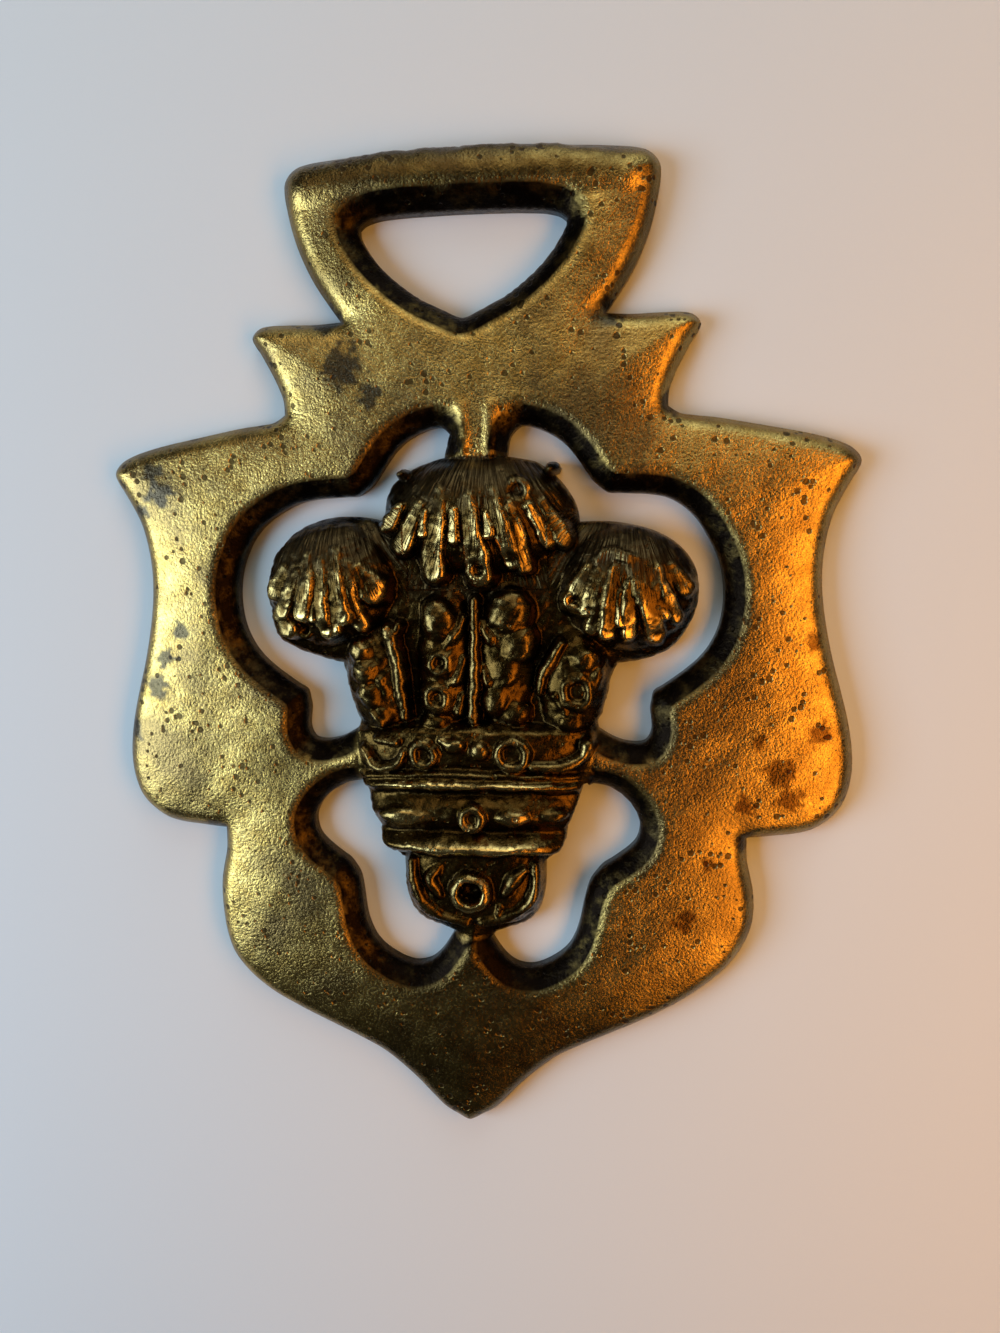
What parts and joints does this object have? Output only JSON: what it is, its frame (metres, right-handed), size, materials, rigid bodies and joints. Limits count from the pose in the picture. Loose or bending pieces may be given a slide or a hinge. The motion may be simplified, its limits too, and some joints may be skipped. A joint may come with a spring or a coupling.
{
  "type": "horse brass",
  "caption": "Cast pierced harness badge: an eared, pointed plate with a strap slot, around three curled ostrich plumes rising from a coronet, with a flat back.",
  "frame": {"origin": "middle of the overall box, on the flat back", "axes": "+X to the right and +Y towards the strap slot as seen from the face, +Z out of the face"},
  "size_m": [0.0666, 0.0886, 0.0065],
  "materials": {
    "aged_brass": "aged cast brass, hand-polished on the high faces, near-black patina in the recesses"
  },
  "bodies": {
    "root": {"horse_brass": "aged_brass"}
  },
  "joints": []
}
